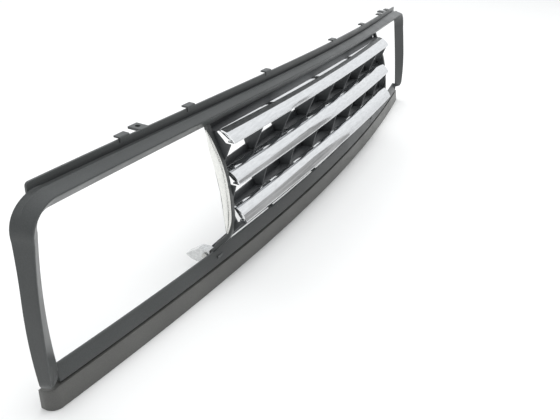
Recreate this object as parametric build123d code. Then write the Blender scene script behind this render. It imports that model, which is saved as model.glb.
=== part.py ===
from build123d import *
import os
from math import cos, radians, sin

# Front grille of a light van. X runs across the vehicle (+X is on the right as seen from the
# front), Y runs back into the body, Z is up. The origin is on the symmetry plane, at the front
# lower edge of the trim strip. All sizes are in millimetres.

# ---------------------------------------------------------------- driving dimensions
HALF_SPAN = 650.0          # reference half-span that the plan curves are written for
WALL = 3.0                 # wall of the plastic mouldings
SLIP = 0.05                # clearance of a metal part pushed onto another

LOWER_SAG = 44.0           # how far the lower plan curve falls back at the half-span
UPPER_SETBACK = 20.0       # how far the top edge stands behind the lower edge at the middle
UPPER_SAG = 83.4           # the same sag for the upper plan curve
UPPER_FLAT = 16.5          # fourth-order easing of the upper plan curve
TOP_Z = 273.0              # top of the rear flange at the middle
TOP_DROP = 32.2            # how far the flange top drops at the half-span

STRIP_HEIGHT = 26.0
STRIP_DEPTH = 18.0
STRIP_LEAN = 4.3           # how far the strip's face leans back over its height
STRIP_HALF = 640.0
STRIP_CORNER = 14.0        # corner radius of the strip in plan
SHUT_GAP = 2.0             # gap between the strip and the lower rail

LOWER_EDGE_Z = 46.6        # lower edge of the openings
LOWER_EDGE_BACK = 14.3     # its distance behind the lower plan curve
UPPER_EDGE_Z = 241.0       # upper edge of the openings at the middle
UPPER_EDGE_DROP = 30.5     # how far it drops at the half-span
STILE_FOOT_X = 622.0       # outer edge of a headlight opening at its foot
STILE_LEAN = 18.0          # how far that edge leans inwards up to the corner
CORNER_RADIUS = 20.0       # outer upper corner of a headlight opening

RAIL_WIDTH = 17.0          # width of the top rail's front face at the middle
RAIL_SPREAD = 1.0          # how much wider it is at its ends
STILE_WIDTH = 21.0         # width of a stile's front face
RAIL_RISE = 15.0           # how far the crease stands in front of the opening's edge
RISE_SPREAD = 2.5          # how much farther it stands at the ends and along the stiles
FOOT_RISE_LOSS = 7.0       # how much of that is lost at the foot of a stile
STILE_MID_Z = 141.0        # height below which it starts to be lost, about half-way up
FLARE = 5.0                # how far the outer wall spreads from the crease to its rear edge
WALL_BACK = 1.0            # how far the outer wall runs behind the opening's edge
STILE_BACK_GAIN = 20.0     # how fast a stile's outer wall deepens towards the upper corner
RAIL_FACE_TILT = 5.3       # distance of the lower rail's foot behind the lower plan curve
RAIL_DEPTH = 17.0          # depth of the lower rail's foot
RAIL_JOIN_X = 20.0         # half-length of the lower rail's middle piece
STILE_END_Z = 37.0         # underside of a stile's foot, which leaves a recess above the strip

UPRIGHT_X = 338.0          # inner side of the uprights that part the centre from the openings
UPRIGHT_THICK = 7.0
# front and rear edges of an upright as (depth, height)
NOSE = [(43, 236), (30, 210), (15, 180), (4, 140), (-1, 100), (4, 76), (16, 60), (27, 45)]
NOSE_REAR = [(33, 45), (24, 62), (9, 79), (13, 100), (20, 140), (31, 178), (41, 214), (49, 236)]

CHEEK_THICK = 2.0
# front and rear edges of a chrome cheek, which meet in a point at both ends
CHEEK_FRONT = [(43, 227), (30.5, 210), (15.8, 181), (5.4, 143), (1.2, 106), (6.5, 79.5)]
CHEEK_REAR = [(6.5, 79.5), (11.5, 99), (17.5, 136), (26.6, 168), (37.5, 200), (43, 227)]
CHEEK_POSTS = [(9.5, 140), (20, 178)]
CHEEK_POST_R = 1.5

BLADE_HALF = 333.0
BLADE_SAG = 11.0           # plan sag of the blades at their ends
BLADE_DROOP = 4.5          # how far the blade ends droop
BLADE_BULGE = 3.2
BLADE_WALL = 2.2
BLADE_TAIL = 11.0          # depth of the wall along a blade's lower lip
BLADES = {                 # name: depth and height of the rear edge, then of the section
    "top": (18.4, 228.6, 24.0, 15.0),
    "middle": (10.3, 175.2, 25.0, 18.0),
    "bottom": (-5.5, 123.2, 21.5, 19.0),
}
CAP_RECESS = 1.5           # how far a cap is set into the blade's end
CAP_THICK = 2.5
CAP_GAP = 0.35

POST_R = 2.5
POST_SHARE = 0.57          # place of the blade posts down the section
POST_TAIL = 8.0            # how far they reach behind the blade's rear edge
PAD_X = (127.5, 297.5)     # places of the blade posts
PAD_WIDTH = 16.0
PAD_FRONT = 1.9            # front and rear of the pads behind the blade's rear edge
PAD_REAR = 4.3
NUT_R = 4.8
NUT_THICK = 0.8

RIB_PITCH = 85.0
RIB_THICK = 2.6
RIB_DROP = 2.6             # how far a rib's front corner lies below a blade's rear edge
RIB_GAP = 0.4              # gap between a blade's lip and the rib under it
RIB_BEHIND_TAIL = 1.0      # gap between a blade's lower wall and the rib
RIB_UNDER_TAIL = 7.0       # how far a rib reaches forward under that wall
SHELF_BEHIND_RAIL = 4.0    # gap between the lower rail's edge and the lowest shelf
SHELF_THICK = 2.4
SHELF_FRONT = 1.8          # gap between a blade's rear edge and the shelf behind it
SHELF_STEP = 0.6           # how far a shelf lies below that edge
SHELF_FALL = 3.0           # how far a shelf drops towards its rear edge
UPSTAND = 9.0              # height of a shelf's rear upstand
LATTICE_HALF = 337.8
TOP_CLEARANCE = 3.0        # lattice top below the opening's upper edge
# rear of the lattice as (depth, height) from the top shelf down
REAR_LINE = [(46, 214), (33, 178), (22, 140), (15, 100), (11, 79), (26, 62), (36, 49)]
REAR_TOP = 47.0            # depth of the lattice's rear at the top shelf
REAR_FOOT = 36.0
LOWEST_SHELF_Z = 50.0
EAR_X = (0.0, 170.0)       # places of the lattice's screw ears
EAR_HALF_WIDTH = 8.0
UPPER_EAR_RISE = 9.0       # screw height above the opening's upper edge
LOWER_EAR_Z = 39.0
EAR_MARGIN = 6.0           # ear material beyond the screw
BOSS_R = 4.0
BOSS_HOLE_DEPTH = 12.0

FLANGE_HALF = 601.0
FLANGE_HEIGHT = 14.0
FLANGE_THICK = 2.6
FLANGE_LAP = 0.325         # distance of the outer wall's rear edge in front of the top edge's curve
HOOK_X = (-480.0, -374.0, -205.0, 28.0, 205.0, 374.0, 480.0)
HOOK_HALF_WIDTH = 8.0
HOOK_RISE = 2.5            # how far the hooks stand above the flange
HOOK_ROOT = 4.0
HOOK_REACH = 7.0           # how far they bend back
HOOK_THICK = 2.3
LUG_X = 450.0              # screw lugs on the flange
LUG_WIDTH = 16.0
LUG_DEPTH = 18.0
LUG_HOLE_BACK = 10.0
SCREW_HOLE_R = 3.2

BRACKET_WIDTH = 14.0
BRACKET_WALL = 2.0
# outline of a bracket's side and of the hollow in it, as (depth, height)
BRACKET_OUTLINE = [(34.5, 46), (53, 44), (74, 28), (62, 22), (45, 22), (34.5, 25)]
BRACKET_HOLLOW = [(33, 44.2), (52, 42), (70.5, 28.2), (61.5, 24), (45.5, 24), (33, 27.6)]
BRACKET_SCREW = (41.0, 36.0)
BRACKET_HOLE_Y = 53.5      # mounting hole through the bracket's lower wall
BRACKET_HOLE_X = 339.0
BLOCK_FRONT = 21.0         # block behind the lower rail that takes the bracket screw
BLOCK_HALF_HEIGHT = 4.0
BLOCK_WIDTH = 12.0

SCREW_R = 2.0
SCREW_CLEARANCE = 0.3
SCREW_HEAD_R = 4.5
SCREW_HEAD_THICK = 2.4
SCREW_LENGTH = 11.0
CLIP_X = (80.0, 240.0, 400.0, 560.0)
CLIP_WIDTH = 12.0
CLIP_THICK = 0.9
CLIP_REACH = 6.0


OUTER_X = -UPRIGHT_X - UPRIGHT_THICK      # outer side of the left upright


# ---------------------------------------------------------------- shared curves
def lower_plan(x):
    """Depth of the lower front edge at x."""
    return LOWER_SAG * (x / HALF_SPAN) ** 2


def upper_plan(x):
    """Depth of the top edge at x."""
    t = x / HALF_SPAN
    return UPPER_SETBACK + UPPER_SAG * t**2 - UPPER_FLAT * t**4


def face_depth(x, z):
    """Depth of the body surface that the frame lies on, straight from the lower to the top edge."""
    share = z / TOP_Z
    return lower_plan(x) * (1 - share) + upper_plan(x) * share


def flange_top(x):
    return TOP_Z - TOP_DROP * (x / HALF_SPAN) ** 2


def opening_top(x):
    return UPPER_EDGE_Z - UPPER_EDGE_DROP * (x / HALF_SPAN) ** 2


def ear_height(x):
    """Height of the upper lattice screws."""
    return opening_top(x) + UPPER_EAR_RISE


def both_sides(places):
    """The places, and their mirror images where they are off the middle."""
    return list(places) + [-x for x in places if x]


def steps(start, stop, count):
    """Evenly spaced values from start to stop, both included."""
    return [start + (stop - start) * i / (count - 1) for i in range(count)]


def ring(points):
    """Closed polygon through the points."""
    return Wire.make_polygon([Vector(*p) for p in points], close=True)


def skin(wires, ruled=True):
    """Solid through a row of section wires."""
    return Solid.make_loft(wires, ruled=ruled)


def beam(xs, section):
    """Solid through the YZ sections that section(x) gives at each x."""
    return skin([ring([(x, y, z) for y, z in section(x)]) for x in xs])


def slab_x(points, x0, x1):
    """YZ polygon extruded from x0 to x1."""
    face = Face(ring([(x0, y, z) for y, z in points]))
    return Solid.extrude(face, Vector(x1 - x0, 0, 0))


def mirrored(solid):
    return solid.mirror(Plane.YZ)


def post_y(x, y0, y1, z, radius):
    """Round bar along Y from y0 to y1."""
    plane = Plane(origin=(x, y0, z), z_dir=(0, 1, 0))
    return Solid.make_cylinder(radius, y1 - y0, plane)


def post_z(x, y, z0, z1, radius):
    return Solid.make_cylinder(radius, z1 - z0, Plane(origin=(x, y, z0)))


def post_x(x0, x1, y, z, radius):
    plane = Plane(origin=(x0, y, z), z_dir=(1, 0, 0))
    return Solid.make_cylinder(radius, x1 - x0, plane)


# ---------------------------------------------------------------- frame
def bar_size(x, z, angle):
    """Depth of the opening's edge, then width, rise, flare and back of the surround's section."""
    ends = (x / STILE_FOOT_X) ** 2
    turn = min(1.0, abs(angle - 90.0) / 90.0)
    depth = face_depth(x, z)
    width = RAIL_WIDTH + ends * (RAIL_SPREAD + (STILE_WIDTH - RAIL_WIDTH - RAIL_SPREAD) * turn)
    low = max(0.0, STILE_MID_Z - z) / (STILE_MID_Z - LOWER_EDGE_Z)
    rise = RAIL_RISE + RISE_SPREAD * ends - FOOT_RISE_LOSS * low**2
    rail_back = upper_plan(x) - FLANGE_LAP - depth
    high = max(0.0, z - STILE_MID_Z) / (UPPER_EDGE_Z - STILE_MID_Z)
    stile_back = WALL_BACK + STILE_BACK_GAIN * high**2
    back = stile_back + (rail_back - stile_back) * (1.0 - turn**2)
    return depth, width, rise, FLARE, back


def rail_size(x):
    """The same sizes where the surround meets the lower rail."""
    depth = lower_plan(x) + LOWER_EDGE_BACK
    width = LOWER_EDGE_Z - STRIP_HEIGHT - SHUT_GAP
    rise = LOWER_EDGE_BACK - RAIL_FACE_TILT
    return depth, width, rise, 0.0, RAIL_DEPTH - LOWER_EDGE_BACK


def surround_section(x, z, angle, foot=0.0):
    """One section of the bar round the openings.

    The opening's edge is at (x, z) and the bar grows outwards along angle. Its front face rises
    to a crease, and an outer wall runs back from there. foot turns it into the lower rail.
    """
    sizes = zip(bar_size(x, z, angle), rail_size(x))
    depth, width, rise, flare, back = [a + (b - a) * foot for a, b in sizes]
    if 0.0 < foot < 1.0:
        reach = (LOWER_EDGE_Z - STILE_END_Z) / abs(sin(radians(angle)))
        shrink = min(1.0, reach / (width + flare))
        width *= shrink
        flare *= shrink
    inner = width - WALL * (0.4 + 0.6 * foot)
    outline = [
        (0, 0),
        (width, rise),
        (width + flare, -back),
        (width + flare - WALL, -back),
        (inner, rise - 1.5 * WALL),
        (0, -1.2 * WALL),
    ]
    out_x = cos(radians(angle))
    out_z = sin(radians(angle))
    return ring([(x + u * out_x, depth - w, z + u * out_z) for u, w in outline])


def surround_stations():
    """Place, outward angle and foot share, from the lower rail's middle over the top and back."""
    corner_x = STILE_FOOT_X - STILE_LEAN - CORNER_RADIUS
    corner_z = opening_top(corner_x) - CORNER_RADIUS
    left = [(x, LOWER_EDGE_Z, 270.0, 1.0) for x in steps(-RAIL_JOIN_X, -STILE_FOOT_X, 14)]
    left += [(-STILE_FOOT_X, LOWER_EDGE_Z, 270.0 - 90.0 * t, 1.0 - t) for t in steps(0.2, 1.0, 5)]
    for share in steps(0.1, 1.0, 6):
        x = STILE_FOOT_X - STILE_LEAN * share**2
        left.append((-x, LOWER_EDGE_Z + (corner_z - LOWER_EDGE_Z) * share, 180.0, 0.0))
    for angle in steps(168.0, 102.0, 6):
        x = -corner_x + CORNER_RADIUS * cos(radians(angle))
        left.append((x, corner_z + CORNER_RADIUS * sin(radians(angle)), angle, 0.0))
    left += [(x, opening_top(x), 90.0, 0.0) for x in steps(-corner_x, 0.0, 9)]
    return left + [(-x, z, 180.0 - angle, foot) for x, z, angle, foot in reversed(left[:-1])]


def surround():
    """Bar round both openings, closed by a short piece at the lower rail's middle."""
    bar = skin([surround_section(*station) for station in surround_stations()])
    middle = [-RAIL_JOIN_X, 0.0, RAIL_JOIN_X]
    return bar + skin([surround_section(x, LOWER_EDGE_Z, 270.0, 1.0) for x in middle])


def flange_section(x):
    """Thin flange that stands up along the rear of the top rail."""
    rear = upper_plan(x) + WALL_BACK
    top = flange_top(x)
    foot = top - FLANGE_HEIGHT
    return [(rear - FLANGE_THICK, top), (rear - FLANGE_THICK, foot), (rear, foot), (rear, top)]


def flange():
    return beam(steps(-FLANGE_HALF, FLANGE_HALF, 17), flange_section)


def hook(x):
    """Locating hook on the flange: a short tab bent back."""
    y = upper_plan(x) + WALL_BACK - 0.5
    foot = flange_top(x) - HOOK_ROOT
    top = flange_top(x) + HOOK_RISE
    outline = [
        (y - HOOK_THICK, foot), (y - HOOK_THICK, top), (y + HOOK_REACH, top),
        (y + HOOK_REACH, top - HOOK_THICK), (y, top - HOOK_THICK), (y, foot),
    ]
    return slab_x(outline, x - HOOK_HALF_WIDTH, x + HOOK_HALF_WIDTH)


def screw_lug(x):
    """Flat lug with a vertical screw hole."""
    y = upper_plan(x) - WALL_BACK
    z = flange_top(x) - WALL
    lug = Solid.make_box(LUG_WIDTH, LUG_DEPTH, WALL, Plane(origin=(x - LUG_WIDTH / 2, y, z)))
    return lug - post_z(x, y + LUG_HOLE_BACK, z - 1.0, z + WALL + 1.0, SCREW_HOLE_R)


def upright():
    """Left upright: a plate with a bowed front edge and two holes for the cheek's posts."""
    front = Spline(*[Vector(-UPRIGHT_X, y, z) for y, z in NOSE])
    rear = Polyline(*[Vector(-UPRIGHT_X, y, z) for y, z in [NOSE[-1]] + NOSE_REAR + [NOSE[0]]])
    face = Face(Wire([front.edge()] + list(rear.edges())))
    plate = Solid.extrude(face, Vector(-UPRIGHT_THICK, 0, 0))
    for y, z in CHEEK_POSTS:
        plate -= post_x(OUTER_X - 1.0, 1.0 - UPRIGHT_X, y, z, CHEEK_POST_R + 3 * SLIP)
    return plate


def upper_boss(x):
    """Boss behind the top rail that takes a lattice screw, and its hole."""
    front = upper_plan(x) - 2 * WALL
    back = REAR_TOP - SHELF_THICK - 2 * SLIP
    z = ear_height(x)
    return post_y(x, front, back, z, BOSS_R), post_y(x, back - BOSS_HOLE_DEPTH, back + 1.0, z, SCREW_R)


def lower_boss(x):
    """The same behind the lower rail."""
    front = lower_plan(x) + 4 * WALL
    back = REAR_FOOT - SHELF_THICK - 2 * SLIP
    z = LOWER_EAR_Z
    return post_y(x, front, back, z, BOSS_R), post_y(x, back - BOSS_HOLE_DEPTH, back + 1.0, z, SCREW_R)


def bracket_block():
    """Block behind the lower rail that a bracket is screwed to, on the left."""
    y, z = BRACKET_SCREW
    low, high = z - BLOCK_HALF_HEIGHT, z + BLOCK_HALF_HEIGHT
    back = y + BLOCK_HALF_HEIGHT + 1.0
    outline = [(BLOCK_FRONT, low), (back, low), (back, high), (BLOCK_FRONT, high)]
    block = slab_x(outline, OUTER_X, OUTER_X + BLOCK_WIDTH)
    return block - post_x(OUTER_X - 1.0, OUTER_X + BLOCK_WIDTH - 2.0, y, z, SCREW_R)


def main_frame():
    body = surround() + flange()
    left = upright() + bracket_block()
    for side in (left, mirrored(left)):
        body += side
    for x in HOOK_X:
        body += hook(x)
    for x in both_sides([LUG_X]):
        body += screw_lug(x)
    for x in both_sides(EAR_X):
        for boss, hole in (upper_boss(x), lower_boss(x)):
            body = body + boss - hole
    return body


# ---------------------------------------------------------------- lower trim strip
def strip_plan(z, inset, depth):
    """Plan outline of the strip at height z, with its front and ends moved in by inset."""
    lean = STRIP_LEAN * z / STRIP_HEIGHT
    half = STRIP_HALF - inset
    corner = STRIP_CORNER - inset
    bend = half - corner
    front = [Vector(x, lower_plan(x) + lean + inset, z) for x in steps(-bend, bend, 9)]
    rear = [Vector(x, lower_plan(x) + depth, z) for x in steps(half, -half, 9)]
    end_y = front[-1].Y + corner
    mid_y = end_y - corner * cos(radians(45))
    mid_x = bend + corner * sin(radians(45))
    parts = [
        Spline(*front),
        ThreePointArc(front[-1], Vector(mid_x, mid_y, z), Vector(half, end_y, z)),
        Line(Vector(half, end_y, z), rear[0]),
        Spline(*rear),
        Line(rear[-1], Vector(-half, end_y, z)),
        ThreePointArc(Vector(-half, end_y, z), Vector(-mid_x, mid_y, z), front[0]),
    ]
    return Wire([part.edge() for part in parts])


def lower_trim_strip():
    top = STRIP_HEIGHT
    shell = skin([strip_plan(0.0, 0.0, STRIP_DEPTH), strip_plan(top, 0.0, STRIP_DEPTH)])
    reach = STRIP_DEPTH + WALL
    hollow = skin([strip_plan(WALL, WALL, reach), strip_plan(top - WALL, WALL, reach)])
    return shell - hollow


def strip_clip(x):
    """U clip pushed onto the rear edge of the strip's upper wall."""
    def section(x):
        rear = lower_plan(x) + STRIP_DEPTH + SLIP
        tip = rear - CLIP_REACH
        top = STRIP_HEIGHT + SLIP
        foot = STRIP_HEIGHT - WALL - SLIP
        return [
            (tip, top), (rear, top), (rear, foot), (tip, foot),
            (tip, foot - CLIP_THICK), (rear + CLIP_THICK, foot - CLIP_THICK),
            (rear + CLIP_THICK, top + CLIP_THICK), (tip, top + CLIP_THICK),
        ]
    return beam([x - CLIP_WIDTH / 2, x + CLIP_WIDTH / 2], section)


# ---------------------------------------------------------------- chrome blades
def blade_edges(name, x):
    """Rear upper edge and front lower lip of a blade at x, as (depth, height) pairs."""
    share = (x / BLADE_HALF) ** 2
    y, z, depth, height = BLADES[name]
    rear = (y + BLADE_SAG * share, z - BLADE_DROOP * share)
    return rear, (rear[0] - depth, rear[1] - height)


def bowed(x, start, stop, bulge):
    """Arc in the YZ plane at x that bows forwards and up by bulge."""
    run = Vector(0, stop[0] - start[0], stop[1] - start[1])
    out = Vector(0, run.Z, -run.Y).normalized() * bulge
    middle = Vector(x, (start[0] + stop[0]) / 2, (start[1] + stop[1]) / 2) + out
    return ThreePointArc(Vector(x, *start), middle, Vector(x, *stop))


def blade_section(name, x):
    rear, lip = blade_edges(name, x)
    inner_top = (rear[0] + 0.5, rear[1] - 1.4 * BLADE_WALL)
    inner_foot = (lip[0] + 1.8 * BLADE_WALL, lip[1] + BLADE_WALL)
    tail_low = (lip[0] + BLADE_TAIL, lip[1])
    tail_high = (lip[0] + BLADE_TAIL, lip[1] + BLADE_WALL)
    parts = [
        bowed(x, rear, lip, BLADE_BULGE),
        Line(Vector(x, *lip), Vector(x, *tail_low)),
        Line(Vector(x, *tail_low), Vector(x, *tail_high)),
        Line(Vector(x, *tail_high), Vector(x, *inner_foot)),
        bowed(x, inner_foot, inner_top, -BLADE_BULGE),
        Line(Vector(x, *inner_top), Vector(x, *rear)),
    ]
    return Wire([part.edge() for part in parts])


def post_place(name, x):
    """Depth where a blade's post starts inside the shell, and its height."""
    rear, _ = blade_edges(name, x)
    depth, height = BLADES[name][2:]
    return rear[0] - POST_SHARE * depth - 1.0, rear[1] - POST_SHARE * height


def blade(name):
    """Thin convex shell with four round posts behind it."""
    xs = steps(-BLADE_HALF, BLADE_HALF, 5)
    body = skin([blade_section(name, x) for x in xs], ruled=False)
    for x in both_sides(PAD_X):
        front, z = post_place(name, x)
        body += post_y(x, front, blade_edges(name, x)[0][0] + POST_TAIL, z, POST_R)
    return body


def blade_cap(name):
    """Left closing piece of a blade, set just inside the end of the shell."""
    x = CAP_RECESS - BLADE_HALF
    rear, lip = blade_edges(name, x)
    top = (rear[0] + 0.6, rear[1] - 1.4 * BLADE_WALL - CAP_GAP)
    front = (lip[0] + 1.8 * BLADE_WALL + CAP_GAP, lip[1] + BLADE_WALL + CAP_GAP)
    tail = (lip[0] + BLADE_TAIL, lip[1] + BLADE_WALL + CAP_GAP)
    parts = [
        bowed(x, top, front, 0.8 * BLADE_BULGE),
        Line(Vector(x, *front), Vector(x, *tail)),
        Line(Vector(x, *tail), Vector(x, *top)),
    ]
    return Solid.extrude(Face(Wire([part.edge() for part in parts])), Vector(CAP_THICK, 0, 0))


# ---------------------------------------------------------------- lattice behind the blades
def rear_depth(z):
    """Depth of the lattice's rear at height z, read from the rear line."""
    for (y0, z0), (y1, z1) in zip(REAR_LINE, REAR_LINE[1:]):
        if z1 <= z <= z0:
            return y0 + (y1 - y0) * (z0 - z) / (z0 - z1)
    return REAR_TOP if z > REAR_LINE[0][1] else REAR_FOOT


def rib_outline(x):
    """Front edge from blade to blade below the top shelf, then the rear line back up."""
    front = []
    for name in BLADES:
        rear, lip = blade_edges(name, x)
        front.append((rear[0] + SHELF_FRONT, rear[1] - RIB_DROP))
        front.append((lip[0] + BLADE_TAIL + RIB_BEHIND_TAIL, lip[1] - RIB_GAP))
        front.append((lip[0] + BLADE_TAIL - RIB_UNDER_TAIL, lip[1] - RIB_GAP))
    front.append((lower_plan(x) + LOWER_EDGE_BACK + SHELF_BEHIND_RAIL, LOWEST_SHELF_Z - 1.0))
    top_z = blade_edges("top", x)[0][1] - SHELF_STEP - SHELF_FALL - 1.0
    return front + list(reversed(REAR_LINE)) + [(REAR_TOP - 0.5, top_z)]


def rib(x):
    return slab_x(rib_outline(x), x - RIB_THICK / 2, x + RIB_THICK / 2)


def shelf(name):
    """Shelf behind a blade's upper edge, with an upstand along its rear."""
    def section(x):
        (y, z), _ = blade_edges(name, x)
        front = y + SHELF_FRONT
        high = z - SHELF_STEP
        low = high - SHELF_FALL
        back = rear_depth(low)
        top = opening_top(x) - TOP_CLEARANCE if name == "top" else low + UPSTAND
        lean = REAR_TOP - back if name == "top" else 2.0
        return [
            (front, high), (back - SHELF_THICK, low), (back - SHELF_THICK + lean, top),
            (back + lean, top), (back, low - SHELF_THICK), (front, high - SHELF_THICK),
        ]
    return beam(steps(-LATTICE_HALF, LATTICE_HALF, 9), section)


def lowest_shelf():
    """Shelf that closes the lattice just above the lower rail."""
    def section(x):
        front = lower_plan(x) + LOWER_EDGE_BACK + SHELF_BEHIND_RAIL
        z = LOWEST_SHELF_Z
        return [(front, z), (REAR_FOOT, z), (REAR_FOOT, z - SHELF_THICK), (front, z - SHELF_THICK)]
    return beam(steps(-LATTICE_HALF, LATTICE_HALF, 9), section)


def pad(name, x):
    """Plate under a shelf that takes a blade post."""
    rear, lip = blade_edges(name, x)
    front, back = rear[0] + PAD_FRONT, rear[0] + PAD_REAR
    high, low = rear[1] - 1.5, lip[1] + 2.0
    outline = [(front, high), (back, high), (back, low), (front, low)]
    plate = slab_x(outline, x - PAD_WIDTH / 2, x + PAD_WIDTH / 2)
    return plate - post_y(x, front - 1.0, back + 1.0, post_place(name, x)[1], POST_R + 0.2)


def ear(x, back, z, low, high):
    """Upright screw ear between the heights low and high."""
    front = back - SHELF_THICK
    outline = [(front, low), (back, low), (back, high), (front, high)]
    plate = slab_x(outline, x - EAR_HALF_WIDTH, x + EAR_HALF_WIDTH)
    return plate - post_y(x, front - 1.0, back + 1.0, z, SCREW_R + SCREW_CLEARANCE)


def upper_ear(x):
    z = ear_height(x)
    return ear(x, REAR_TOP, z, opening_top(x) - 2 * TOP_CLEARANCE, z + EAR_MARGIN)


def lower_ear(x):
    return ear(x, REAR_FOOT, LOWER_EAR_Z, LOWER_EAR_Z - EAR_MARGIN, LOWEST_SHELF_Z - 1.0)


def centre_lattice():
    body = lowest_shelf()
    for name in BLADES:
        body += shelf(name)
        for x in both_sides(PAD_X):
            body += pad(name, x)
    end_x = LATTICE_HALF - RIB_THICK / 2
    for x in both_sides([i * RIB_PITCH for i in range(4)] + [end_x]):
        body += rib(x)
    for x in both_sides(EAR_X):
        body += upper_ear(x)
        body += lower_ear(x)
    return body


# ---------------------------------------------------------------- chrome cheeks
def side_cheek():
    """Left cheek: a crescent plate on the outer side of the upright, with two posts."""
    front = Spline(*[Vector(OUTER_X, y, z) for y, z in CHEEK_FRONT])
    rear = Spline(*[Vector(OUTER_X, y, z) for y, z in CHEEK_REAR])
    plate = Solid.extrude(Face(Wire([front.edge(), rear.edge()])), Vector(-CHEEK_THICK, 0, 0))
    for y, z in CHEEK_POSTS:
        plate += post_x(OUTER_X - 1.0, OUTER_X + UPRIGHT_THICK - 0.5, y, z, CHEEK_POST_R)
    return plate


# ---------------------------------------------------------------- lower brackets
def lower_bracket():
    """Left bracket: a channel with a pointed tail that reaches back under the opening."""
    outer = OUTER_X - BRACKET_WALL
    inner = outer + BRACKET_WIDTH
    channel = slab_x(BRACKET_OUTLINE, outer, inner)
    channel -= slab_x(BRACKET_HOLLOW, OUTER_X, inner + 1.0)
    y, z = BRACKET_SCREW
    channel -= post_x(outer - 1.0, OUTER_X + 1.0, y, z, SCREW_R + SCREW_CLEARANCE)
    foot = BRACKET_OUTLINE[3][1]
    hole = post_z(-BRACKET_HOLE_X, BRACKET_HOLE_Y, foot - 1.0, foot + BRACKET_WALL + 1.0, SCREW_HOLE_R)
    return channel - hole


# ---------------------------------------------------------------- fasteners
def screw_y(x, seat, z):
    """Screw driven forwards, with the underside of its head at depth seat."""
    shank = post_y(x, seat - SCREW_LENGTH, seat, z, SCREW_R - SLIP)
    return shank + post_y(x, seat, seat + SCREW_HEAD_THICK, z, SCREW_HEAD_R)


def lattice_screws():
    screws = []
    for x in both_sides(EAR_X):
        screws.append(screw_y(x, REAR_TOP + SLIP, ear_height(x)))
        screws.append(screw_y(x, REAR_FOOT + SLIP, LOWER_EAR_Z))
    return Compound(children=screws)


def bracket_screw():
    """Left bracket screw, driven inwards along X."""
    y, z = BRACKET_SCREW
    seat = OUTER_X - BRACKET_WALL - SLIP
    shank = post_x(seat, seat + SCREW_LENGTH - 1.0, y, z, SCREW_R - SLIP)
    return shank + post_x(seat - SCREW_HEAD_THICK, seat, y, z, SCREW_HEAD_R)


def push_nut(name, x):
    y = blade_edges(name, x)[0][0] + PAD_REAR + SLIP
    z = post_place(name, x)[1]
    return post_y(x, y, y + NUT_THICK, z, NUT_R) - post_y(x, y - 1.0, y + 2.0, z, POST_R + SLIP)


def push_nuts():
    return Compound(children=[push_nut(name, x) for name in BLADES for x in both_sides(PAD_X)])


# ---------------------------------------------------------------- nodes
def nodes():
    yield "main_frame", main_frame()
    yield "lower_trim_strip", lower_trim_strip()
    yield "strip_clips", Compound(children=[strip_clip(x) for x in both_sides(CLIP_X)])
    yield "centre_lattice", centre_lattice()
    for name in BLADES:
        yield name + "_blade", blade(name)
        yield name + "_blade_left_cap", blade_cap(name)
        yield name + "_blade_right_cap", mirrored(blade_cap(name))
    yield "left_side_cheek", side_cheek()
    yield "right_side_cheek", mirrored(side_cheek())
    yield "left_lower_bracket", lower_bracket()
    yield "right_lower_bracket", mirrored(lower_bracket())
    yield "bracket_screws", Compound(children=[bracket_screw(), mirrored(bracket_screw())])
    yield "lattice_screws", lattice_screws()
    yield "blade_push_nuts", push_nuts()


os.makedirs("parts", exist_ok=True)
for node, shape in nodes():
    export_step(shape, "parts/" + node + ".step")
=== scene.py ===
"""Front grille: the visible model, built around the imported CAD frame.

Lengths are in millimetres until a mesh is made. X is to the right seen from the front, Y runs back, Z is up.
"""
import math

import bmesh
import bpy
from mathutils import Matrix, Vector


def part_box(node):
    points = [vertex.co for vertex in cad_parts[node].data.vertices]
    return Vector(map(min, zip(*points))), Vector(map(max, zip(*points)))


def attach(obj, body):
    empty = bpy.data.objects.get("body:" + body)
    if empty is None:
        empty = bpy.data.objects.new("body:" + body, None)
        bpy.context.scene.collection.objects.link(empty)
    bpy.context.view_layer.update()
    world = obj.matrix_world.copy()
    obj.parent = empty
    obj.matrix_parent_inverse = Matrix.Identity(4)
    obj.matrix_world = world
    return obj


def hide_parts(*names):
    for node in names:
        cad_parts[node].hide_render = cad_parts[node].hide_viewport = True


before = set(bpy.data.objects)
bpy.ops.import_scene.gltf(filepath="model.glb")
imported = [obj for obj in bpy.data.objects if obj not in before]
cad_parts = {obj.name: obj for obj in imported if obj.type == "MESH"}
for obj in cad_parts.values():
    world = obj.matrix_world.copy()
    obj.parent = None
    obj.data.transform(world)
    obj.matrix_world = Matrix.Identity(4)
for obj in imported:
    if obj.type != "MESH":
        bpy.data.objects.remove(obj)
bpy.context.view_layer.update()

MM = 0.001
SHARP_ANGLE = math.radians(38.0)
BEVEL_ANGLE = math.radians(30.0)      # edges of a new piece sharper than this are bevelled
CAD_BEVEL_ANGLE = math.radians(35.0)
MERGE_DISTANCE = 1e-6                 # metres


# ---------------------------------------------------------------- sizes; the overall ones are the frame's
def box_mm(node):
    """Lowest and highest corner of a CAD node in millimetres."""
    low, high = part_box(node)
    return low * 1000.0, high * 1000.0


STRIP_HIGH = box_mm("lower_trim_strip")[1]
FRAME_HIGH = box_mm("main_frame")[1]
LATTICE_HIGH = box_mm("centre_lattice")[1]

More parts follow.
